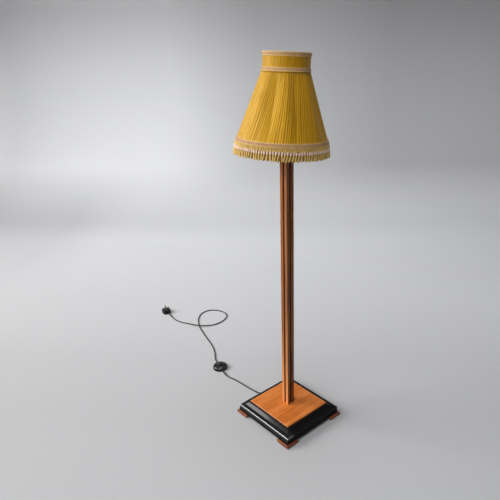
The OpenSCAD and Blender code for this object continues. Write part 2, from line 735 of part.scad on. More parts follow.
module plug_pin(size) {
    below = plug_plate_t + 2;
    translate([-size[0] / 2, -size[1] / 2, pin_z - below]) cube([size[0], size[1], size[2] + below - 1]);
    translate([-size[0] / 2 + 0.7, -size[1] / 2 + 0.7, pin_z + size[2] - 1])
        cube([size[0] - 1.4, size[1] - 1.4, 1]);
}

module plug_power_pins() color("#c9a95a") at_plug()
    for (s = [-1, 1]) translate([s * pin_half_pitch, -earth_up, 0]) plug_pin(power_pin);

module plug_earth_pin() color("#c9a95a") at_plug() translate([0, earth_up, 0]) plug_pin(earth_pin);

module plug_fuse() color("#d8d4c8") at_plug()
    translate([12, -fuse_l / 2 + 2, plug_cover_h - fuse_d / 2 - 2 - soft_gap]) rotate([-90, 0, 0])
        cylinder(d = fuse_d, h = fuse_l);

module plug_screw() color("#8a8a86") at_plug() translate([0, 0, pin_z - 3 * 0.45]) screw(3, 18);

module plug_sleeve() color("#1d1c1b") at_plug() translate([0, -plug_l / 2 + 6, plug_z])
    rotate([90, 0, 0]) {
        cylinder(r = sleeve_r, h = 6);
        translate([0, 0, 6]) cylinder(r1 = sleeve_r, r2 = sleeve_end_r, h = sleeve_l + 1);
    }

// ---- gimbal and shade ----

module gimbal() color("#b9b4a6") rotate(gimbal_turn) difference() {
    union() {
        translate([0, 0, seat_z + fit]) ring(fitter_d / 2, holder_d / 2 + run_fit, fitter_t);
        for (s = [0, 180]) rotate(s) {
            rod([fitter_d / 2 - wire_r, 0, seat_z + fit + fitter_t / 2],
                [eye_r + eye_t / 4, 0, pivot_z - eye_d / 2 + 0.5], wire_d);
            translate([eye_r, 0, pivot_z]) rotate([0, 90, 0]) cylinder(d = eye_d, h = eye_t);
        }
    }
    translate([0, 0, pivot_z]) rotate([0, 90, 0])
        cylinder(d = rivet_d + 2 * run_fit, h = 2 * neck_r, center = true);
    // keeps the bore and both faces of the fitter ring clear
    translate([0, 0, seat_z + fit + fitter_t]) cylinder(d = clamp_d + 2, h = clamp_h + 2);
    translate([0, 0, seat_z + fit - 10]) cylinder(d = fitter_d + 4, h = 10);
}

lug_r = eye_r + eye_t + eye_gap;

module gimbal_rivets() color("#b9b4a6") tilted() rotate(gimbal_turn) for (s = [0, 180]) rotate(s)
    translate([eye_r - rivet_head - eye_gap, 0, pivot_z]) rotate([0, 90, 0]) {
        cylinder(d = rivet_d + 2.5, h = rivet_head);
        cylinder(d = rivet_d, h = rivet_head + eye_gap + eye_t + eye_gap + lug_t);
    }

module shade_frame() color("#cfcabb") tilted() {
    top_ring_z = shade_z - ring_wire_r - gimp_t;
    for (p = [[neck_ring_r, top_ring_z], [neck_ring_r, pivot_z], [hem_ring_r, hem_z]])
        translate([0, 0, p[1]]) rotate_extrude() translate([p[0], 0]) circle(ring_wire_r, $fn = 24);
    for (i = [0:struts - 1]) rotate(strut_turn + 360 * i / struts) {
        rod([neck_ring_r, 0, pivot_z], [neck_ring_r, 0, top_ring_z], wire_d);
        rod([neck_ring_r, 0, pivot_z], [hem_ring_r, 0, hem_z], wire_d);
    }
    // the lugs that the gimbal's rivets pass through
    rotate(gimbal_turn) for (s = [0, 180]) rotate(s) difference() {
        union() {
            translate([lug_r, 0, pivot_z]) rotate([0, 90, 0]) cylinder(d = eye_d, h = lug_t);
            translate([lug_r, -wire_r, pivot_z - wire_r])
                cube([neck_ring_r - lug_r, wire_d, wire_d]);
        }
        translate([lug_r - 1, 0, pivot_z]) rotate([0, 90, 0]) cylinder(d = rivet_d, h = lug_t + 1);
    }
}

// A ring of pleats, as the points of its outline
function pleated_ring(out) = [for (i = [0:2 * neck_pleats - 1])
    let(a = 180 * i / neck_pleats, r = out - pleat_d * (i % 2)) [r * cos(a), r * sin(a)]];

module neck_cover() color("#c99a2c") tilted() {
    translate([0, 0, pivot_z - 1]) linear_extrude(shade_z - gimp_t - pivot_z + 1) difference() {
        polygon(pleated_ring(neck_r));
        polygon(pleated_ring(neck_r - cover_t));
    }
}

// Radius of the skirt's outer line at angle a and share t from the neck ring down to the hem
function skirt_line(t) = neck_r + (skirt_r - neck_r) * t;
function sag(a, t) = let(p = (a - strut_turn) * struts / 360, q = p - floor(p))
    panel_sag * 4 * t * (1 - t) * sin(180 * q);

// A thin skirt, each wall point pushed in by inset, with pleats of the given depth
module skirt_shell(points, levels, from, to, inset, thick, pleat) {
    ringful = function(dr) [for (k = [0:levels], i = [0:points - 1]) let(
        t = from + (to - from) * k / levels, a = strut_turn + 360 * i / points,
        r = skirt_line(t) - sag(a, t) - inset - dr - (dr == 0 ? pleat * (i % 2) : 0))
        [r * cos(a), r * sin(a), pivot_z - skirt_h * t]];
    outer = ringful(0);
    inner = ringful(thick);
    n = points;
    m = len(outer);
    side = [for (k = [0:levels - 1], i = [0:n - 1]) let(
        a = k * n + i, b = k * n + (i + 1) % n, c = a + n, d = b + n) each [
        [a, b, c], [b, d, c], [m + a, m + c, m + b], [m + b, m + c, m + d]]];
    rims = [for (i = [0:n - 1]) let(j = (i + 1) % n, e = levels * n) each [
        [i, m + i, j], [j, m + i, m + j], [e + i, e + j, m + e + i], [e + j, m + e + j, m + e + i]]];
    polyhedron(concat(outer, inner), concat(side, rims), convexity = 8);
}

module skirt_cover() color("#cf9f2e") tilted()
    skirt_shell(2 * pleat_count, 3, (1 + 3 * soft_gap) / skirt_h, 1, 0, cover_t + pleat_d, pleat_d);

module skirt_lining() color("#e9e0c4") tilted()
    skirt_shell(6 * struts, 3, lining_drop / skirt_h, 1 - (ring_wire_r + soft_gap) / skirt_h,
        cover_t + pleat_d + lining_gap, lining_t, 0);

module braid(r0, z0, r1, z1) rotate_extrude($fn = 96)
    polygon([[r0, z0], [r0 + gimp_t, z0], [r1 + gimp_t, z1], [r1, z1]]);

module top_braid() color("#b08a48") tilted() {
    braid(neck_r + fit, shade_z - gimp_w, neck_r + fit, shade_z);
    translate([0, 0, shade_z - gimp_t + fit]) ring(neck_r + fit + 0.5, neck_ring_r, gimp_t - fit);
}

module neck_braid() color("#b08a48") tilted() {
    low = gimp_w - braid_up;
    braid(neck_r + fit, pivot_z, neck_r + fit, pivot_z + braid_up);
    braid(skirt_line(low / skirt_h) + fit, pivot_z - low, neck_r + fit, pivot_z);
}

module hem_braid() color("#b08a48") tilted() {
    top_t = 1 - gimp_w / skirt_h;
    braid(skirt_r + fit + 0.4, hem_z - 1, skirt_line(top_t) + fit, hem_z + gimp_w);
}

module fringe() color("#a98a3f") tilted() translate([0, 0, hem_z - 1 - fringe_h])
    linear_extrude(fringe_h) {
        lobe = PI * skirt_r / tassels * 0.84;
        difference() {
            union() {
                circle(skirt_r + 1.6, $fn = 96);
                for (i = [0:tassels - 1]) rotate(360 * i / tassels)
                    translate([skirt_r + fringe_out - lobe, 0]) circle(lobe, $fn = 24);
            }
            circle(skirt_r - 3, $fn = 96);
        }
    }

echo(free_flex_mm = route_length(rings_at(to_switch, 200)) + route_length(rings_at(to_plug, 600)),
    first = route_length(rings_at(to_switch, 200)), second = route_length(rings_at(to_plug, 600)));

foot(-1, -1);  // foot_left_front
foot(1, -1);  // foot_right_front
foot(-1, 1);  // foot_left_rear
foot(1, 1);  // foot_right_rear
foot_screws();
plinth_moulding();
plinth_board();
top_panel();
ballast_plate();
ballast_screws();
post_core();
stave(-1, -1);  // post_stave_left_front
stave(1, -1);  // post_stave_right_front
stave(-1, 1);  // post_stave_left_rear
stave(1, 1);  // post_stave_right_rear
post_top_plate();
top_plate_screws();
threaded_nipple();
lampholder_cap();
lampholder_insulator();
lampholder_plungers();
lampholder_shell();
clamp_ring();
bulb_cap();
bulb_glass();
inner_flex();
cable_clips();
clip_screws();
outlet_sleeve();
cord_to_switch();
switch_dish();
switch_dome();
switch_block();
switch_button();
switch_spring();
switch_screws();
switch_sleeves();
cord_to_plug();
plug_cover();
plug_plate();
plug_power_pins();
plug_earth_pin();
plug_fuse();
plug_screw();
plug_sleeve();
gimbal();
gimbal_rivets();
shade_frame();
neck_cover();
skirt_cover();
skirt_lining();
top_braid();
neck_braid();
hem_braid();
fringe();
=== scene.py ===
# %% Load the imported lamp
import math
import random

import bmesh
import bpy
from mathutils import Matrix, Vector, noise


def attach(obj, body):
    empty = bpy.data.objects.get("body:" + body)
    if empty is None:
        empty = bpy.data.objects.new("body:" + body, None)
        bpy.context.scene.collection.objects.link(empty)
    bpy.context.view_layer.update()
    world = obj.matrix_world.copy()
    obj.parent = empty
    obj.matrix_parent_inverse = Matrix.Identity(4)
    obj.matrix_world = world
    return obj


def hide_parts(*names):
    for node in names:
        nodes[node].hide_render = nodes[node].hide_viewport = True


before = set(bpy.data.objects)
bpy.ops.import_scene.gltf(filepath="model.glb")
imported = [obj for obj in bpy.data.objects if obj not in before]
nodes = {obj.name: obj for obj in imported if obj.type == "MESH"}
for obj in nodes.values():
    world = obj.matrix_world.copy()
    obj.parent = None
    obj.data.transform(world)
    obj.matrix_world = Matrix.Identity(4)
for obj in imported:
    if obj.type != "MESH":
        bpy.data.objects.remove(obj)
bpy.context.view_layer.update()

print("CAD nodes:", len(nodes))

# %% [markdown]
# ## The camera
# The photograph is taken from a little above the shade, looking down at a corner of the base.
# A camera is an object whose local X points right, Y points up and Z points back at the viewer,
# so its matrix can be written straight from those three directions. That keeps the slight roll
# of the photograph, which a "look at the lamp" constraint would lose.

# %% Camera
EYE = Vector((-1.3182, -1.3638, 1.5355))
HEADING = math.radians(-39.67)
PITCH = math.radians(21.75)
ROLL = math.radians(-1.97)
FOCAL_PIXELS, PHOTO_PIXELS, SENSOR = 526.58, 500, 36

level_right = Vector((math.cos(HEADING), math.sin(HEADING), 0))
forward = Vector((-math.sin(HEADING) * math.cos(PITCH), math.cos(HEADING) * math.cos(PITCH),
                  -math.sin(PITCH)))
level_up = level_right.cross(forward)
right = level_right * math.cos(ROLL) + level_up * math.sin(ROLL)
up = level_up * math.cos(ROLL) - level_right * math.sin(ROLL)

camera = bpy.data.objects.new("camera", bpy.data.cameras.new("camera"))
bpy.context.scene.collection.objects.link(camera)
camera.matrix_world = Matrix((right, up, -forward)).transposed().to_4x4()
camera.matrix_world.translation = EYE
camera.data.sensor_width = SENSOR
camera.data.lens = FOCAL_PIXELS / PHOTO_PIXELS * SENSOR
camera.data.clip_end = 50
bpy.context.scene.camera = camera
print("camera looks along", [round(c, 3) for c in forward])

# %% [markdown]
# ## Shader maths
# Wood, silk and lacquer all need sums of noise. Wiring Math nodes by hand is slow to read, so
# one small class wraps an output socket and turns + - * / into Math nodes. A second class holds
# one material, and its add() method makes any other node from its settings and its inputs. Its
# other methods are short names for the nodes that are used again and again.


# %% Sockets that do maths
class Wire:
    def __init__(self, paint, socket):
        self.paint, self.socket = paint, socket

    def maths(self, operation, *values):
        return self.paint.add("Math", {"operation": operation}, dict(enumerate(values)))

    def __add__(self, other): return self.maths("ADD", self, other)
    def __sub__(self, other): return self.maths("SUBTRACT", self, other)
    def __mul__(self, other): return self.maths("MULTIPLY", self, other)
    def __truediv__(self, other): return self.maths("DIVIDE", self, other)
    def __rsub__(self, other): return self.maths("SUBTRACT", other, self)
    __radd__, __rmul__ = __add__, __mul__
    def clamp(self): return self.paint.add("Clamp", {}, {"Value": self})
    def at_least(self, other): return self.maths("MAXIMUM", self, other)


def srgb(r, g, b):
    """A screen colour, 0 to 255, as the linear colour that a shader takes."""
    return tuple(((c / 255 + 0.055) / 1.055) ** 2.4 if c > 10 else c / 3294.6
                 for c in (r, g, b)) + (1.0,)


# %% One material and its nodes
class Paint:
    def __init__(self, name, **sockets):
        self.material = bpy.data.materials.new(name)
        self.material.use_nodes = True
        self.tree = self.material.node_tree
        self.shader = self.tree.nodes["Principled BSDF"]
        self.set(**sockets)

    def set(self, **sockets):
        """Sets the shader's own sockets: base_color goes to Base Color."""
        for name, value in sockets.items():
            title = " ".join(w.capitalize() if w != "ior" else "IOR" for w in name.split("_"))
            self.join(self.shader.inputs[title], value)
        return self

    def join(self, socket, value):
        if isinstance(value, Wire):
            self.tree.links.new(value.socket, socket)
        else:
            socket.default_value = value

    def add(self, kind, settings=None, inputs=None, out=0):
        node = self.tree.nodes.new("ShaderNode" + kind)
        for name, value in (settings or {}).items():
            if name == "stops":
                while len(node.color_ramp.elements) < len(value):
                    node.color_ramp.elements.new(0.5)
                for stop, (place, colour) in zip(node.color_ramp.elements, value):
                    stop.position, stop.color = place, colour
            else:
                setattr(node, name, value)
        for name, value in (inputs or {}).items():
            self.join(node.inputs[name], value)
        return Wire(self, node.outputs[out])

    def place(self, scale=(1, 1, 1), turn=(0, 0, 0), uv=None):
        """Where a point is on the piece, stretched and turned."""
        if uv:
            where = self.add("UVMap", {"uv_map": uv})
        else:
            where = self.add("TexCoord", out="Object")
        return self.add("Mapping", {}, {"Vector": where, "Scale": scale, "Rotation": turn})

    def axis(self, letter, where=None):
        """How far a point lies along X, Y or Z."""
        return self.add("SeparateXYZ", {}, {"Vector": where or self.place()}, out=letter)

    def noise(self, where, scale, detail=3, rough=0.5, distortion=0.0):
        return self.add("TexNoise", {}, {"Vector": where, "Scale": scale, "Detail": detail,
                                         "Roughness": rough, "Distortion": distortion})

    def ramp(self, value, *stops):
        return self.add("ValToRGB", {"stops": stops}, {"Fac": value})

    def mix(self, share, a, b, blend="MIX"):
        return self.add("Mix", {"data_type": "RGBA", "blend_type": blend},
                        {0: share, 6: a, 7: b}, out=2)

    def bump(self, height, distance, strength=1.0):
        return self.add("Bump", {}, {"Height": height, "Distance": distance,
                                     "Strength": strength})

    def attribute(self, name):
        return self.add("Attribute", {"attribute_name": name}, out="Fac")


def drawn_out(along, share):
    """A Mapping scale that draws a pattern out along one axis."""
    return [share if letter == along else 1.0 for letter in "XYZ"]


def dress(paint, *names):
    """Gives a material to CAD nodes, in place of the one they came with."""
    for name in names:
        nodes[name].data.materials.clear()
        nodes[name].data.materials.append(paint.material)


# %% [markdown]
# ## The flex
# The flex is a fixed length of round rubber cable. It leaves the base under the rear moulding,
# runs to the foot switch, then lies on the floor in one open loop and ends in the plug.
# A Bezier curve with a round bevel is the natural tool: few points, and the tube stays round.
# The route's points are the part's own. Each handle is a sixth of the step between a point's
# two neighbours, which makes the same smooth line as the solid, and no handle dips into the
# floor.

# %% Routes
TO_SWITCH = [
    (0, .1655, .0082), (-.0013, .1756, .007), (-.0036, .1873, .0054), (-.0065, .2009, .0038),
    (-.0086, .2165, .0031), (-.0107, .2354, .003), (-.0129, .2567, .003), (-.015, .280, .003),
    (-.0163, .3073, .003), (-.0186, .3331, .003), (-.0222, .3562, .003), (-.0264, .3761, .003),
    (-.029, .3923, .0035), (-.029, .4085, .0043), (-.0262, .4268, .0053)]
TO_PLUG = [
    (.0072, .5358, .0053), (.0136, .552, .0036), (.028, .575, .003), (.046, .600, .003),
    (.067, .638, .003), (.089, .694, .003), (.109, .762, .003), (.131, .833, .003),
    (.152, .891, .003), (.184, .947, .003), (.220, .989, .003), (.260, 1.012, .003),
    (.298, 1.013, .003), (.330, .995, .003), (.351, .964, .003), (.359, .927, .003),
    (.350, .889, .003), (.316, .859, .003), (.270, .846, .003), (.224, .849, .0036),
    (.182, .867, .007), (.152, .891, .0094), (.133, .930, .007), (.121, .967, .0036),
    (.104, 1.002, .003), (.095, 1.042, .003), (.095, 1.084, .0042), (.1007, 1.1242, .007)]
CORD_D = 0.006

rubber = Paint("flex_rubber")
speck = rubber.noise(rubber.place(), 900, 2)
rubber.set(base_color=rubber.mix(rubber.noise(rubber.place(), 60), srgb(14, 14, 14),
                                 srgb(30, 29, 28)),
           roughness=0.42 + speck * 0.2, normal=rubber.bump(speck, 0.00015))


def flex(name, route, node):
    """A round flexible cable along a route, standing for one CAD node."""
    curve = bpy.data.curves.new(name, "CURVE")
    curve.dimensions, curve.resolution_u = "3D", 10
    curve.bevel_depth, curve.bevel_resolution, curve.use_fill_caps = CORD_D / 2, 4, True
    line = curve.splines.new("BEZIER")
    line.bezier_points.add(len(route) - 1)
    points = [Vector(p) for p in route]
    ends = [2 * points[0] - points[1]] + points + [2 * points[-1] - points[-2]]
    for i, knot in enumerate(line.bezier_points):
        lean = (ends[i + 2] - ends[i]) / 6
        before, after = points[i] - lean, points[i] + lean
        before.z, after.z = max(before.z, CORD_D / 2), max(after.z, CORD_D / 2)
        knot.co, knot.handle_left, knot.handle_right = points[i], before, after
    curve.materials.append(rubber.material)
    piece = bpy.data.objects.new(name, curve)
    bpy.context.scene.collection.objects.link(piece)
    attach(piece, "stand")
    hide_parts(node)
    length = sum(s.calc_length() for s in curve.splines)
    print(name, "is", round(length, 4), "m long")
    return piece, length


# %% Lay the flex
first_flex, first_length = flex("flex_to_switch", TO_SWITCH, "cord_to_switch")
second_flex, second_length = flex("flex_to_plug", TO_PLUG, "cord_to_plug")
dress(rubber, "inner_flex", "outlet_sleeve", "switch_sleeves", "plug_sleeve")

# %% [markdown]
# ## Wood
# The post and the panel are faced with orange straight-grained veneer under a hard gloss
# polish. Grain is noise that is stretched along the tree: a broad one for the figure, a fine
# one for the dark pores. Because every piece keeps its place in its mesh, Object coordinates
# are real metres, and a Mapping node says along which axis the grain runs. On the post, the
# face towards the window is painted paler low down, as painted light, and the face away from
# it is painted browner, as painted shade. The panel is painted dark brown below a height
# near its top edge.


# %% Veneer
WINDOW_FACE_X, SHADY_FACE_Y, PAINTED_LIGHT_BELOW_Z = -0.0168, -0.0178, 0.5


def veneer(name, along, light, mid, dark, polish=0.16, edge=None):
    """Polished veneer whose grain runs along X, Y or Z. Below the edge it is painted dark brown.
    Upright veneer also gets painted light low on its window face, and painted shade on the face
    away from the window.
    """
    paint = Paint(name, coat_weight=0.05, coat_roughness=0.07, specular_ior_level=0.2)
    stretch = drawn_out(along, 0.045)
    where = paint.place(stretch)
    sway = paint.noise(paint.place([s * 0.5 + 0.5 for s in stretch]), 9, 2)
    figure = paint.noise(where, 34, 4, 0.6, 0.9)
    fine = paint.noise(where, 210, 3, 0.7, 0.3)
    pores = paint.noise(where, 620, 2, 0.5)
    height = paint.axis("Z")
    tone = (figure * 0.62 + fine * 0.28 + sway * 0.42 - 0.2).clamp()
    colour = paint.ramp(tone, (0.28, dark), (0.45, mid), (0.68, light))
    depth = ((0.43 - pores) * 6).clamp()
    colour = paint.mix(depth * 0.6, colour, dark, "MULTIPLY")
    if along == "Z":
        # Painted light: the face towards the window is painted paler low down.
        painted_light_low = ((PAINTED_LIGHT_BELOW_Z - height) * 2.2).clamp()
        window_face = ((WINDOW_FACE_X - paint.axis("X")) * 900).clamp()
        colour = paint.mix(painted_light_low * window_face, colour, srgb(244, 158, 92))
        # Painted shade: the face away from the window is painted browner.
        painted_shade_face = ((SHADY_FACE_Y - paint.axis("Y")) * 2000).clamp()
        colour = paint.mix(painted_shade_face * 0.42, colour, srgb(58, 22, 6))
    # Below the edge height the colour is painted dark brown.
    if edge:
        below = ((edge[1] - height) / (edge[1] - edge[0])).clamp()
        colour = paint.mix(below, colour, srgb(46, 22, 10))
    paint.set(base_color=colour, roughness=polish + fine * 0.1 + depth * 0.2,
              normal=paint.bump(pores * 0.4 + figure, 0.00012, 0.6))
    return paint


ORANGE = srgb(184, 118, 62), srgb(164, 96, 44), srgb(108, 54, 22)
post_wood = veneer("post_veneer", "Z", *ORANGE)
pale_stave = veneer("post_veneer_pale", "Z", srgb(182, 124, 80), srgb(158, 100, 58),
                    srgb(106, 58, 30))
panel_wood = veneer("panel_veneer", "X", srgb(240, 156, 86), srgb(224, 130, 58),
                    srgb(190, 102, 38), edge=(0.0612, 0.0644))
foot_wood = veneer("mahogany_feet", "X", srgb(168, 106, 68), srgb(140, 82, 50),
                   srgb(84, 44, 26), polish=0.3)
deal = veneer("underside_board", "X", srgb(178, 140, 98), srgb(150, 112, 74),
              srgb(96, 66, 42), polish=0.55)
dress(post_wood, "post_stave_right_front", "post_stave_left_rear")
dress(pale_stave, "post_stave_left_front", "post_stave_right_rear")
dress(panel_wood, "top_panel")
dress(foot_wood, "foot_left_front", "foot_right_front", "foot_left_rear", "foot_right_rear")
dress(deal, "plinth_board")

# %% [markdown]
# ## Ebonised wood
# The plinth and the grooves are stained black and polished. A black surface shows its finish
# only by what it reflects, so the roughness matters more than the colour: slightly uneven
# polish, faint grain under it, and a brown that shows through where the stain is thin. On the
# side towards the window a thin pale line is painted along the moulding's top arris as a
# painted highlight, and the bands next to it keep more of their polish. A ramp over the
# height sets where.


# %% Black polish
def ebony(name, along, gloss):
    """Black polish over wood, and the colour under its polish."""
    paint = Paint(name, specular_ior_level=0.06, coat_roughness=0.08, coat_ior=2.4)
    grain = paint.noise(paint.place(drawn_out(along, 0.06)), 260, 3, 0.6)
    cloud = paint.noise(paint.place(), 14, 3)
    thin = ((cloud - 0.52) * 4).clamp() * grain
    stain = paint.mix(thin, srgb(13, 13, 13), srgb(26, 21, 18))
    paint.set(base_color=stain, roughness=gloss + cloud * 0.1 + grain * 0.04,
              normal=paint.bump(grain, 0.0001, 0.5))
    return paint, stain


# %% The plinth's polished side and its painted highlight
LUSTRE_TOP = 0.05
LUSTRE = [(0.020, 0.0), (0.030, 0.08), (0.040, 1.0), (0.0419, 1.0), (0.0423, 0.1), (0.045, 0.15)]
WORN_X, HIGHLIGHT_X = -0.108, -0.1465

plinth_black, plinth_stain = ebony("plinth_ebonised", "X", 0.25)
groove_black, _ = ebony("groove_ebonised", "Z", 0.3)
lustre = plinth_black.ramp(
    plinth_black.axis("Z") * (1 / LUSTRE_TOP),
    *[(height / LUSTRE_TOP, (share, share, share, 1)) for height, share in LUSTRE])
east = plinth_black.axis("X")
worn_side = ((WORN_X - east) * 60).clamp().at_least(0.05)
# Painted highlight: a pale line along the top arris on the side towards the window.
painted_highlight = ((lustre - 0.7) * 4).clamp() * ((HIGHLIGHT_X - east) * 800).clamp()
plinth_black.set(coat_weight=lustre * worn_side,
                 base_color=plinth_black.mix(painted_highlight, plinth_stain, srgb(158, 158, 156)))
dress(plinth_black, "plinth_moulding")
dress(groove_black, "post_core")

# %% [markdown]
# ## Metals, plastics and glass
# The fittings inside the shade are old brass, and the screws are plain zinc. Tarnish and
# finger marks change the roughness and darken the colour in soft clouds. Moulded plastic is
# nearly even, with a very fine texture and slight wear.


# %% Fittings
def metal(name, bright, dull, rough, scale=40):
    """Bright metal with clouds of a duller, rougher stain."""
    paint = Paint(name, metallic=1.0)
    cloud = paint.noise(paint.place(), scale, 4, 0.65)
    scratch = paint.noise(paint.place((1, 1, 0.06)), 900, 2)
    stain = ((cloud - 0.42) * 3.2).clamp()
    paint.set(base_color=paint.mix(stain, bright, dull),
              roughness=rough + stain * 0.22 + scratch * 0.08,
              normal=paint.bump(scratch, 0.00004, 0.5))
    return paint


def plastic(name, colour, worn, rough):
    """Moulded plastic, enamel or glaze: nearly even, a little worn."""
    paint = Paint(name)
    grain = paint.noise(paint.place(), 1400, 2)
    cloud = paint.noise(paint.place(), 55, 4, 0.6)
    paint.set(base_color=paint.mix(((cloud - 0.5) * 3).clamp(), colour, worn),
              roughness=rough + cloud * 0.1, normal=paint.bump(grain, 0.00008, 0.25))
    return paint


brass = metal("aged_brass", srgb(206, 166, 92), srgb(122, 88, 42), 0.24)
zinc = metal("zinc_screws", srgb(176, 174, 168), srgb(112, 108, 100), 0.3, 90)
iron = metal("cast_ballast", srgb(70, 68, 66), srgb(40, 34, 30), 0.6, 25)
iron.set(metallic=0.3)
cap_metal = metal("bulb_cap_metal", srgb(206, 204, 198), srgb(150, 146, 138), 0.28)
dress(brass, "post_top_plate", "top_plate_screws", "threaded_nipple", "lampholder_cap",
      "lampholder_plungers", "lampholder_shell", "clamp_ring")
dress(metal("dull_pin_brass", srgb(150, 130, 92), srgb(84, 70, 46), 0.36),
      "plug_power_pins", "plug_earth_pin")
dress(zinc, "foot_screws", "ballast_screws", "clip_screws", "switch_screws", "switch_spring",
      "plug_screw", "cable_clips", "gimbal_rivets")
dress(iron, "ballast_plate")
dress(cap_metal, "bulb_cap")

black_plastic = plastic("black_plastic", srgb(10, 10, 10), srgb(22, 22, 22), 0.2)
black_plastic.set(specular_ior_level=0.25, coat_weight=0.5, coat_roughness=0.18,
                  coat_ior=1.65)
plug_plastic = plastic("plug_plastic", srgb(8, 8, 8), srgb(18, 18, 18), 0.34)
plug_plastic.set(specular_ior_level=0.3)
dress(black_plastic, "switch_dome", "switch_button")
dress(plug_plastic, "plug_cover", "plug_plate", "switch_dish")
dress(plastic("brown_plastic", srgb(62, 34, 22), srgb(44, 24, 16), 0.3),
      "lampholder_insulator")
dress(plastic("cream_plastic", srgb(214, 200, 164), srgb(190, 172, 130), 0.4), "switch_block")
dress(plastic("fuse_ceramic", srgb(226, 222, 210), srgb(204, 198, 184), 0.35), "plug_fuse")
wire_white = plastic("wire_enamel", srgb(206, 200, 182), srgb(160, 140, 104), 0.3)
dress(wire_white, "gimbal", "shade_frame")

pearl = Paint("pearl_glass", base_color=srgb(240, 238, 230), transmission_weight=0.55,
              ior=1.5)
pearl.set(roughness=0.24 + pearl.noise(pearl.place(), 30) * 0.12)
dress(pearl, "bulb_glass")

# %% [markdown]
# ## The shape of the shade
# Eight straight wires fan out from the neck ring to the bottom ring, and the silk is stretched
# over them, so each panel draws in between its wires like the side of a tent. No two panels
# are alike: in some the silk meets in a sharp crease, in others it lies in a soft hollow. All
# cloth is built upright from one radius formula, and one matrix then leans it with the gimbal.

# %% Sizes of the shade
PIVOT = Vector((0, 0, 1.440))
TOP_Z, HEM_Z = 1.4945, 1.197
NECK_R, HEM_R = 0.0825, 0.1655
SKIRT_H = PIVOT.z - HEM_Z
STRUTS, STRUT_TURN = 8, math.radians(6)
SAG = 0.005
GIMP_W, BRAID_UP = 0.0145, 0.0065
PIVOT_TURN, LEAN_ANGLE = math.radians(73.5), math.radians(4.3)
PIVOT_AXIS = Vector((math.cos(PIVOT_TURN), math.sin(PIVOT_TURN), 0))
LEAN = (Matrix.Translation(PIVOT) @ Matrix.Rotation(LEAN_ANGLE, 4, PIVOT_AXIS)
        @ Matrix.Translation(-PIVOT))
rng = random.Random(7)

# For each panel: where its crease lies, how its two sides curve in (1 is straight), its depth
PANELS = [(0.5, 1.2, 1.2, 0.9), (0.45, 1.4, 1.0, 1.0), (0.55, 1.0, 1.3, 0.9),
          (0.5, 1.2, 1.4, 0.9), (0.47, 1.3, 1.3, 2.3), (0.3, 1.2, 0.8, 2.0),
          (0.5, 0.8, 1.4, 1.9), (0.52, 1.3, 1.1, 0.95)]


def panel_sag(angle, t):
    """How far the silk draws in at an angle, at a share t of the way down the skirt."""
    place = ((angle - STRUT_TURN) * STRUTS / math.tau) % STRUTS
    crease, left, right, depth = PANELS[int(place)]
    share = place % 1
    if share < crease:
        low = (share / crease) ** left
    else:
        low = ((1 - share) / (1 - crease)) ** right
    return SAG * depth * (4 * t * (1 - t)) ** 0.7 * low


def skirt_radius(angle, t):
    """The skirt's outer line, at a share t of the way down."""
    return NECK_R + (HEM_R - NECK_R) * t - panel_sag(angle, t)


# The wires inside, and how far the silk's outer face stays clear of their middle
NECK_RING_R, HEM_RING_R, TOP_RING_Z = 0.0780, 0.1606, TOP_Z - 0.0028
STRUT_CLEAR, RING_CLEAR, RING_REACH = 0.0023, 0.0027, 0.0095


def over_wires(angle, z):
    """The least radius that the silk can be drawn in to, where a wire holds it out."""
    down = max(0.0, PIVOT.z - z) / SKIRT_H
    middle = NECK_RING_R + (HEM_RING_R - NECK_RING_R) * down
    off = ((angle - STRUT_TURN) * STRUTS / math.tau + 0.5) % 1 - 0.5
    aside = abs(off) * math.tau / STRUTS * middle
    least = 0.0
    if aside < STRUT_CLEAR:
        least = middle + math.sqrt(STRUT_CLEAR ** 2 - aside ** 2)
    if any(abs(z - ring) < RING_REACH for ring in (TOP_RING_Z, PIVOT.z, HEM_Z)):
        least = max(least, middle + RING_CLEAR)
    return least


def no_wires(angle, z):
    """For cloth that hangs inside the wires."""
    return 0.0


def ripple(angle, height, scale, seed):
    """Slow waves round a ring, between -1 and 1."""
    return noise.noise(Vector((math.cos(angle) * scale, math.sin(angle) * scale,
                               height + seed)))


def keep(bm, name, paint, body, slot, *replaced):
    """Makes a bmesh an object that rides on a body and stands for some CAD nodes."""
    mesh = bpy.data.meshes.new(name)
    bm.to_mesh(mesh)
    bm.free()
    mesh.materials.append(paint.material)
    mesh.shade_smooth()
    piece = bpy.data.objects.new(name, mesh)
    bpy.context.scene.collection.objects.link(piece)
    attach(piece, body)
    if replaced:
        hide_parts(*replaced)
    print(name, "has", len(mesh.polygons), "faces")
    return piece


# %% [markdown]
# ## Pleated silk
# The cover is fine silk laid in narrow pleats. A plain tube of many thin quads is cut into
# rows, and every point is then pushed in by its place in its pleat. The pleats have slightly
# different depths and widths, because hands made them, and they run a little askew down the
# skirt, so the whole grid of points is twisted with them. Where a wire of the frame lies behind
# the silk, it holds the pleats out. The depth is also kept as an attribute: the cloth is darker
# at the bottom of a pleat, where light hardly reaches.


# %% Pleats
CLOTH_T, UNDER_LINE, WAVE = 0.0004, 0.0006, 0.0006
STEPS_PER_PLEAT = 6


def pleat_table(count):
    """For each pleat, its depth and how far its ridge leans to one side."""
    return [(rng.uniform(0.35, 1.15), rng.uniform(0.34, 0.66)) for _ in range(count)]


def pleat(angle, table, drift):
    """How deep the cloth lies at an angle, from 0 on a ridge to about 1 in a valley."""
    turn = (angle / math.tau * len(table) + drift) % len(table)
    i = int(turn)
    depth, ridge = table[i]
    share = turn - i
    slope = share / ridge if share < ridge else (1 - share) / (1 - ridge)
    return depth * (1 - math.sin(slope * math.pi / 2) ** 0.8)


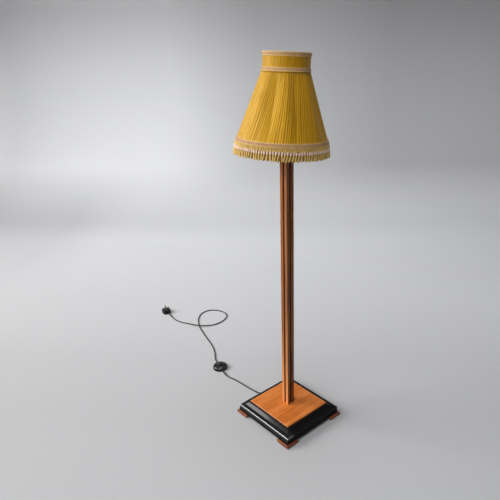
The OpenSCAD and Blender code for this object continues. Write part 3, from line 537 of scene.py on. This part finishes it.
def pleated_tube(name, pleats, radius, wires, z_top, z_bottom, rows, depth, twist, paint, slot,
                 *replaced):
    """A tube of pleated cloth. radius(angle, t) is its outer line, t running downwards, and
    wires(angle, z) is how far out the wires hold it."""
    table = pleat_table(pleats)
    bm = bmesh.new()
    bmesh.ops.create_cone(bm, cap_ends=False, segments=pleats * STEPS_PER_PLEAT,
                          radius1=1, radius2=1, depth=z_top - z_bottom)
    bmesh.ops.translate(bm, verts=bm.verts, vec=(0, 0, (z_top + z_bottom) / 2))
    for row in range(1, rows):
        z = z_top + (z_bottom - z_top) * row / rows
        bmesh.ops.bisect_plane(bm, geom=bm.verts[:] + bm.edges[:] + bm.faces[:],
                               plane_co=(0, 0, z), plane_no=(0, 0, 1))
    cloth = bm.loops.layers.uv.new("cloth")
    for face in bm.faces:
        middle = face.calc_center_median()
        base = math.atan2(middle.y, middle.x)
        for loop in face.loops:
            turn = math.atan2(loop.vert.co.y, loop.vert.co.x)
            turn += round((base - turn) / math.tau) * math.tau
            loop[cloth].uv = (turn / math.tau, loop.vert.co.z)
    shade = bm.verts.layers.float.new("pleat")
    for v in bm.verts:
        angle = math.atan2(v.co.y, v.co.x) % math.tau
        t = (z_top - v.co.z) / (z_top - z_bottom)
        drift = 0.4 * ripple(angle, t * 1.2, 9, 3) + 0.25 * ripple(angle, t * 2.2, 26, 5)
        low = pleat(angle, table, drift)
        wave = WAVE * ripple(angle, t * 0.6, 14, 11)
        angle -= twist * t
        r = radius(angle, t) - depth * low + wave - UNDER_LINE
        held_out = max(0.0, wires(angle, v.co.z) - r)
        r += held_out
        v[shade] = max(0.0, low - held_out / depth)
        v.co.x, v.co.y = r * math.cos(angle), r * math.sin(angle)
    bmesh.ops.transform(bm, verts=bm.verts, matrix=LEAN)
    bmesh.ops.recalc_face_normals(bm, faces=bm.faces)
    area = sum(f.calc_area() for f in bm.faces)
    piece = keep(bm, name, paint, "shade", slot, *replaced)
    wall = piece.modifiers.new("cloth", "SOLIDIFY")
    wall.thickness, wall.offset = CLOTH_T, -1
    return piece, area


# %% [markdown]
# ## Silk
# Gold silk is a satin: broad soft sheen, and fine threads that run down the pleats. Two noises
# on the cloth's own UV map, stretched down the pleats, give the thread and the slubs. The
# valleys are painted a browner gold than the ridges: painted shade at the bottom of each pleat.

# %% Silk
silk = Paint("gold_silk", specular_ior_level=0.6, specular_tint=srgb(255, 236, 130),
             sheen_weight=0.08, sheen_roughness=0.4, sheen_tint=srgb(255, 220, 110))
thread = silk.noise(silk.place((620, 9, 1), uv="cloth"), 1, 3, 0.6)
slub = silk.noise(silk.place((150, 5, 1), uv="cloth"), 1, 2)
patch = silk.noise(silk.place(), 13, 2)
painted_pleat_shade = silk.attribute("pleat")
tone = (thread * 0.5 + slub * 0.5 + patch * 0.35 - 0.18).clamp()
gold = silk.ramp(tone, (0.25, srgb(168, 119, 10)), (0.5, srgb(183, 133, 16)),
                 (0.78, srgb(200, 152, 34)))
# Painted shade: the bottom of each pleat is painted browner gold.
silk.set(base_color=silk.mix((painted_pleat_shade * 0.85).clamp(), gold, srgb(132, 82, 2)),
         roughness=0.36 + thread * 0.12,
         normal=silk.bump(thread, 0.00022, 0.6))


def neck_line(angle, t):
    """The neck's outer line, which is a plain cylinder."""
    return NECK_R


skirt_cloth, skirt_area = pleated_tube(
    "pleated_skirt", 108, skirt_radius, over_wires, PIVOT.z - 0.0005, HEM_Z + 0.0006, 18,
    0.0026, 0.17, silk, "gold_silk", "skirt_cover")
neck_cloth, neck_area = pleated_tube(
    "pleated_neck", 80, neck_line, over_wires, TOP_Z - 0.0015, PIVOT.z - 0.001, 6,
    0.0020, 0, silk, "gold_silk", "neck_cover")

# %% [markdown]
# ## Lining
# Inside the wires hangs a plain cream lining, pulled smooth, with the same tent-like panels.
# It has gone a little brown with years of warm bulbs.

# %% Lining
cream = Paint("cream_lining", sheen_weight=0.2, sheen_roughness=0.5)
weave = cream.noise(cream.place((900, 260, 1), uv="cloth"), 1, 2)
warm = cream.noise(cream.place(), 16, 3)
cream.set(base_color=cream.mix(warm, srgb(222, 208, 172), srgb(196, 172, 122)),
          roughness=0.62 + weave * 0.1, normal=cream.bump(weave, 0.0001))


def lining_line(angle, t):
    """The lining lies 7 mm inside the cover. It starts just under the gimbal's eyes."""
    down = (0.0065 + t * (SKIRT_H - 0.0088)) / SKIRT_H
    return skirt_radius(angle, down) - 0.0064


lining_cloth, lining_area = pleated_tube(
    "shade_lining", 96, lining_line, no_wires, PIVOT.z - 0.0065, HEM_Z + 0.0023, 14,
    0.0005, 0, cream, "cream_lining", "skirt_lining")

# %% [markdown]
# ## Braid
# A gold and pink braid about 15 mm wide covers each edge of the silk. The real one is a woven
# band with raised cords that cross and re-cross it. Here a thin band gives the ground, and
# closed curves with a round bevel make the cords, because a curve follows a wave round a ring
# with no loose ends.


# %% Threads
def thread_paint(name, light, dark, scale=260):
    """Spun thread: fine fibres, and slow changes of colour along it."""
    paint = Paint(name, sheen_weight=0.3, sheen_roughness=0.4)
    fibre = paint.noise(paint.place(), scale, 3, 0.6)
    spot = paint.noise(paint.place(), 70, 2)
    paint.set(base_color=paint.mix((fibre * 0.6 + spot * 0.5 - 0.05).clamp(), dark, light),
              roughness=0.48 + fibre * 0.2, normal=paint.bump(fibre, 0.0003, 0.8))
    return paint


braid_ground = thread_paint("braid_ground", srgb(214, 172, 108), srgb(150, 108, 52))
braid_pink = thread_paint("braid_pink", srgb(206, 160, 128), srgb(150, 104, 76))
braid_gold = thread_paint("braid_gold", srgb(238, 206, 132), srgb(184, 142, 66))


def strands(name, paths, radius, paint, closed=True):
    """Round threads along lists of points in the upright shade."""
    curve = bpy.data.curves.new(name, "CURVE")
    curve.dimensions, curve.bevel_depth, curve.bevel_resolution = "3D", radius, 1
    curve.use_fill_caps = not closed
    for path in paths:
        line = curve.splines.new("POLY")
        line.points.add(len(path) - 1)
        for knot, point in zip(line.points, path):
            knot.co = (*(LEAN @ Vector(point)), 1)
        line.use_cyclic_u = closed
    curve.materials.append(paint.material)
    piece = bpy.data.objects.new(name, curve)
    bpy.context.scene.collection.objects.link(piece)
    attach(piece, "shade")
    print(name, "has", len(paths), "threads")
    return piece


def on_ring(radius, angle, z):
    return (radius * math.cos(angle), radius * math.sin(angle), z)


def ring_wave(radius_at, z, swing, lift, waves, phase, steps=10):
    """A closed wave round the shade: it swings up and down and crosses over and under."""
    path = []
    for i in range(waves * steps):
        angle = math.tau * i / (waves * steps)
        turn = math.tau * i / steps + phase
        height = z + swing * math.sin(turn)
        path.append(on_ring(radius_at(height) + lift * math.cos(2 * turn), angle, height))
    return path


# %% Braid round one edge
BAND_T, CORD_OUT = 0.0006, 0.0007


def gimp(name, radius_at, low, high, waves, node):
    """A woven band between two heights, with crossing cords and corded edges."""
    bm = bmesh.new()
    bmesh.ops.create_cone(bm, cap_ends=False, segments=192, radius1=1, radius2=1,
                          depth=high - low)
    bmesh.ops.translate(bm, verts=bm.verts, vec=(0, 0, (high + low) / 2))
    for v in bm.verts:
        v.co.xy = v.co.xy.normalized() * radius_at(v.co.z)
    bmesh.ops.transform(bm, verts=bm.verts, matrix=LEAN)
    bmesh.ops.recalc_face_normals(bm, faces=bm.faces)
    band = keep(bm, name + "_band", braid_ground, "shade", "gold_braid", node)
    band.modifiers.new("thickness", "SOLIDIFY").thickness = BAND_T
    middle, swing = (low + high) / 2, (high - low) * 0.17

    def over(z):
        return radius_at(z) + CORD_OUT

    pink = strands(name + "_pink", [ring_wave(over, middle, swing, 0.0004, waves, p)
                                    for p in (0, math.pi)], 0.0011, braid_pink)
    edge = strands(name + "_edges", [ring_wave(over, z, 0.0, 0, waves, 0, 4)
                                     for z in (low + 0.0009, low + 0.0029,
                                               high - 0.0009, high - 0.0029)],
                   0.0010, braid_gold)
    core = strands(name + "_core", [ring_wave(over, middle, swing * 0.35, -0.0003,
                                              waves * 2, 0, 6)],
                   0.0009, braid_gold)
    return [band, pink, edge, core]


def neck_edge(z):
    """The ground of the two upper braids: upright, then out along the skirt."""
    return NECK_R + 0.0004 + max(0, (PIVOT.z - z)) * (HEM_R - NECK_R) / SKIRT_H


def hem_edge(z):
    """The ground of the bottom braid, along the skirt."""
    return NECK_R + 0.0006 + min(1.004, (PIVOT.z - z) / SKIRT_H) * (HEM_R - NECK_R)


top_gimp = gimp("top_gimp", neck_edge, TOP_Z - GIMP_W, TOP_Z - 0.0002, 44, "top_braid")
neck_gimp = gimp("neck_gimp", neck_edge, PIVOT.z - GIMP_W + BRAID_UP, PIVOT.z + BRAID_UP, 44,
                 "neck_braid")
hem_gimp = gimp("hem_gimp", hem_edge, HEM_Z - 0.001, HEM_Z + GIMP_W, 90, "hem_braid")

# %% Braid turned over the top edge
TURN_OUTER_R, TURN_INNER_R = NECK_R + 0.0006, 0.0787
bm = bmesh.new()
bmesh.ops.create_circle(bm, segments=192, radius=TURN_OUTER_R)
rim = bmesh.ops.extrude_edge_only(bm, edges=bm.edges[:])["geom"]
inner = [v for v in rim if isinstance(v, bmesh.types.BMVert)]
bmesh.ops.scale(bm, verts=inner, vec=[TURN_INNER_R / TURN_OUTER_R] * 2 + [1])
bmesh.ops.translate(bm, verts=bm.verts, vec=(0, 0, TOP_Z - 0.0003))
bmesh.ops.transform(bm, verts=bm.verts, matrix=LEAN)
bmesh.ops.recalc_face_normals(bm, faces=bm.faces)
rim_turn = keep(bm, "top_gimp_turn", braid_ground, "shade", "gold_braid")
rim_turn.modifiers.new("thickness", "SOLIDIFY").thickness = BAND_T

# %% [markdown]
# ## Fringe
# Under the bottom braid hangs a looped fringe: a narrow gold heading, a row of pinkish knots,
# then gold loops that splay and lean a little, with dark gaps between them. Each bundle is one
# knot, which is a thread wound round and round, and three loops that hang from it. A row of
# darker loops behind them keeps the light from showing through.

# %% Heading of the fringe
FRINGE_H, FRINGE_IN, FRINGE_SPLAY = 0.048, 0.0012, 0.0052
HEADING_H, HEADING_DROP, HEADING_T = 0.014, 0.0082, 0.001
BUNDLES = 108


def fringe_radius(drop):
    """The fringe splays from the skirt's edge to its lowest loops."""
    return HEM_R + FRINGE_IN + FRINGE_SPLAY * (drop / FRINGE_H) ** 1.3


bm = bmesh.new()
bmesh.ops.create_cone(bm, cap_ends=False, segments=192, radius1=HEM_R + FRINGE_IN,
                      radius2=HEM_R + 0.0004, depth=HEADING_H)
bmesh.ops.translate(bm, verts=bm.verts, vec=(0, 0, HEM_Z - HEADING_DROP))
bmesh.ops.transform(bm, verts=bm.verts, matrix=LEAN)
fringe_gold = thread_paint("fringe_gold", srgb(248, 214, 124), srgb(186, 142, 52), 220)
fringe_pink = thread_paint("fringe_pink", srgb(255, 232, 214), srgb(214, 174, 150), 220)
fringe_dark = thread_paint("fringe_olive", srgb(170, 128, 50), srgb(78, 52, 14), 220)
heading = keep(bm, "fringe_heading", fringe_dark, "shade", "gold_fringe", "fringe")
heading.modifiers.new("thickness", "SOLIDIFY").thickness = HEADING_T


# %% Loops of the fringe
def loop(angle, inset, top, bottom, width, sway=0.0, twist=0.0):
    """One hanging loop: down on one side, round, and up on the other."""
    path = []
    for i in range(9):
        s = i / 8
        depth = math.sin(s * math.pi) ** 0.55
        drop = top + (bottom - top) * depth
        across = -math.cos(s * math.pi) * (0.35 + 0.65 * depth)
        r = fringe_radius(drop) - inset + twist * across * depth
        path.append(on_ring(r, angle + (across * width / 2 + sway * depth) / HEM_R,
                            HEM_Z - drop))
    return path


def row(count, inset, top, bottom, width, turn, loose, sway=0.0016):
    """A ring of loops, each a little different."""
    return [loop(math.tau * (i + turn) / count + rng.uniform(-0.1, 0.1) / count * loose,
                 inset + rng.uniform(-0.0005, 0.0005) * loose, top,
                 bottom + rng.uniform(-0.003, 0.0008) * loose, width,
                 rng.uniform(-sway, sway * 0.4) * loose, rng.uniform(-0.0012, 0.0012) * loose)
            for i in range(count)]


def knot(angle, top, bottom, wide):
    """A thread wound three times round its bundle, wider in the middle."""
    path = []
    for i in range(25):
        s = i / 24
        turn = math.tau * 3 * s
        reach = wide * (0.55 + 0.45 * math.sin(math.pi * s))
        drop = top + (bottom - top) * s
        path.append(on_ring(fringe_radius(drop) + 0.0004 + reach * math.sin(turn) * 0.7,
                            angle + reach * math.cos(turn) / HEM_R, HEM_Z - drop))
    return path


# %% Hang the fringe
heading_threads = strands(
    "fringe_heading_threads", row(180, -0.0004, 0.0015, 0.0150, 0.0034, 0, 0.8),
    0.0011, fringe_gold, closed=False)
knots = strands(
    "fringe_knots",
    [knot(math.tau * (i + rng.uniform(-0.08, 0.08)) / BUNDLES,
          0.0135 + rng.uniform(-0.001, 0.001), 0.0235 + rng.uniform(-0.001, 0.001),
          rng.uniform(0.0018, 0.0028)) for i in range(BUNDLES)],
    0.0018, fringe_pink, closed=False)
front_loops = strands(
    "fringe_loops", row(BUNDLES, -0.0012, 0.0215, 0.0465, 0.0024, 0, 1, 0.007),
    0.0015, fringe_gold, closed=False)
side_loops = strands(
    "fringe_side_loops", row(BUNDLES * 2, 0.0012, 0.0205, 0.0445, 0.0040, 0.5, 1, 0.004),
    0.0013, fringe_dark, closed=False)
back_loops = strands(
    "fringe_back_loops", row(160, 0.0040, 0.008, 0.0425, 0.006, 0.2, 1),
    0.0015, fringe_dark, closed=False)

# %% [markdown]
# ## The size of the flat cloth
# The skirt, the neck and the lining are sheets that were cut flat before they were pleated and
# stretched. Their area is measured on the finished folds, and the cut's height is known, so
# the width of the flat cloth follows.

# %% Sheets
TRIM = [*hem_gimp, heading, heading_threads, knots, front_loops, side_loops, back_loops]
for piece, area, height, going_with in (
        (skirt_cloth, skirt_area, 0.258, TRIM + neck_gimp),
        (neck_cloth, neck_area, 0.053, top_gimp + [rim_turn]),
        (lining_cloth, lining_area, 0.249, [])):
    width = area / height
    print(piece.name, "was cut", round(width, 3), "by", height, "m")

# %% [markdown]
# ## Floor, backdrop and light
# The lamp stands in a plain studio with a large soft window on the left. The floor runs up
# into the wall in one curve. A few ramps along its depth, its width and its height paint broad
# light and shade on it: the wall is painted lighter towards the window and darker higher up,
# and the floor darker near the camera and at the left. Far away the floor glows pale, as
# painted light. One big area light is the window, and three weaker ones stand for the rest of
# a bright room. The world hardly lights the lamp, but it is pale to the camera and in
# reflections, so that the room goes on behind the camera too.

# %% Studio
TURN = math.radians(44)


def grey(level):
    """A pale grey, very slightly blue, as bright as a share of white."""
    return (level, level * 1.003, level * 1.012, 1.0)


floor_paint = Paint("studio_floor", roughness=0.8, specular_ior_level=0.1)
where = floor_paint.place(turn=(0, 0, TURN))
across, depth, rise = (floor_paint.axis(letter, where) for letter in "XYZ")
share_across = (across + 2.6) / 5.2
# Painted light and shade: these ramps brighten and darken the floor and wall in broad gradients.
near = floor_paint.ramp((depth + 0.5) / 3.3, (0.0, grey(0.54)), (0.15, grey(0.55)),
                        (0.28, grey(0.61)), (0.48, grey(0.79)), (0.81, grey(0.97)),
                        (1.0, grey(0.97)))
tall = floor_paint.ramp(rise / 2.0, (0.0, grey(1.0)), (0.1, grey(0.96)), (0.38, grey(0.84)),
                        (0.67, grey(0.68)), (0.93, grey(0.50)))
near_side = floor_paint.ramp(share_across, (0.0, grey(0.68)), (0.2, grey(0.78)),
                             (0.5, grey(1.0)), (0.75, grey(1.2)))
far_side = floor_paint.ramp(share_across, (0.115, grey(0.84)), (0.21, grey(1.0)),
                            (0.44, grey(1.1)), (0.885, grey(1.25)))
wall_side = floor_paint.ramp(share_across, (0.0, grey(1.32)), (0.27, grey(1.3)),
                             (0.44, grey(0.96)), (0.7, grey(0.79)), (1.0, grey(0.95)))
side = floor_paint.mix(((depth - 1.1) * 0.9).clamp(), near_side, far_side)
side = floor_paint.mix((rise * 3).clamp(), side, wall_side)
level = floor_paint.mix(1.0, near, tall, "MULTIPLY")
floor_paint.set(base_color=floor_paint.mix(1.0, level, side, "MULTIPLY"))

# Far from the lamp, where the window light does not reach, the floor glows pale grey to the
# camera and in reflections: painted light for a pale room.
SHOWN_TO = "Is Camera Ray", "Is Glossy Ray", "Is Transmission Ray"
seen = sum(floor_paint.add("LightPath", out=kind) for kind in SHOWN_TO).clamp()
sideways = floor_paint.add("Math", {"operation": "ABSOLUTE"}, {0: across})
far_glow = (((0.0 - depth - 0.7) * 0.5).clamp() + ((sideways - 2.9) * 0.6).clamp()).clamp()
floor_paint.set(emission_strength=1.0,
                emission_color=floor_paint.mix(far_glow * seen, (0, 0, 0, 1), grey(0.5)))

# %% The floor that runs up into the wall
FRONT, REACH, BEND, WALL, HALF_WIDTH, FLOOR_Z = -14.0, 2.6, 1.2, 4.0, 14, -0.0005
bm = bmesh.new()
bend = [(REACH + BEND * math.sin(a), BEND * (1 - math.cos(a)))
        for a in (math.radians(7.5 * k) for k in range(1, 13))]
profile = [bm.verts.new((0, y, z))
           for y, z in [(FRONT, 0), (REACH, 0), *bend, (REACH + BEND, WALL)]]
edges = [bm.edges.new(pair) for pair in zip(profile, profile[1:])]
bmesh.ops.translate(bm, verts=bm.verts, vec=(-HALF_WIDTH, 0, FLOOR_Z))
sweep = bmesh.ops.extrude_edge_only(bm, edges=edges)["geom"]
bmesh.ops.translate(bm, verts=[v for v in sweep if isinstance(v, bmesh.types.BMVert)],
                    vec=(2 * HALF_WIDTH, 0, 0))
bmesh.ops.rotate(bm, verts=bm.verts, cent=(0, 0, 0), matrix=Matrix.Rotation(-TURN, 3, "Z"))
bmesh.ops.recalc_face_normals(bm, faces=bm.faces)
cove_mesh = bpy.data.meshes.new("studio_cove")
bm.to_mesh(cove_mesh)
bm.free()
cove_mesh.shade_smooth()
cove_mesh.materials.append(floor_paint.material)
cove = bpy.data.objects.new("studio_cove", cove_mesh)
bpy.context.scene.collection.objects.link(cove)


# %% Lamps
def window(name, place, aim, width, height, power, colour):
    """A flat soft light that faces a point."""
    lamp = bpy.data.lights.new(name, "AREA")
    lamp.shape, lamp.size, lamp.size_y = "RECTANGLE", width, height
    lamp.energy, lamp.color = power, colour
    piece = bpy.data.objects.new(name, lamp)
    piece.location = place
    piece.rotation_euler = (Vector(aim) - Vector(place)).to_track_quat("-Z", "Y").to_euler()
    bpy.context.scene.collection.objects.link(piece)
    return piece


window("window", (-2.5, 2.4, 2.3), (0, 0, 0.6), 2.2, 2.0, 118, (1.0, 0.99, 0.97))
window("side_window", (-3.3, 0.3, 2.4), (0, 0, 0.8), 2.4, 2.2, 26, (1.0, 0.99, 0.97))
window("room", (-2.2, -1.0, 3.0), (0, 0, 0.8), 2.8, 2.8, 47, (1.0, 1.0, 1.0))
window("ceiling", (0.0, 0.0, 3.8), (0, 0, 0), 1.6, 1.6, 33, (0.98, 0.99, 1.0))

# %% World
WORLD_LIT, WORLD_SEEN = 0.03, 1.0
world = bpy.data.worlds.new("studio")
bpy.context.scene.world = world
world.use_nodes = True
sky = world.node_tree.nodes["Background"]
sky.inputs["Color"].default_value = (0.5, 0.502, 0.508, 1)
ray = world.node_tree.nodes.new("ShaderNodeLightPath")
strength = world.node_tree.nodes.new("ShaderNodeMapRange")
strength.inputs["To Min"].default_value = WORLD_LIT
strength.inputs["To Max"].default_value = WORLD_SEEN
shown = ray.outputs[SHOWN_TO[0]]
for kind in SHOWN_TO[1:]:
    total = world.node_tree.nodes.new("ShaderNodeMath")
    world.node_tree.links.new(shown, total.inputs[0])
    world.node_tree.links.new(ray.outputs[kind], total.inputs[1])
    shown = total.outputs[0]
world.node_tree.links.new(shown, strength.inputs["Value"])
world.node_tree.links.new(strength.outputs["Result"], sky.inputs["Strength"])
bpy.context.scene.view_settings.view_transform = "Standard"
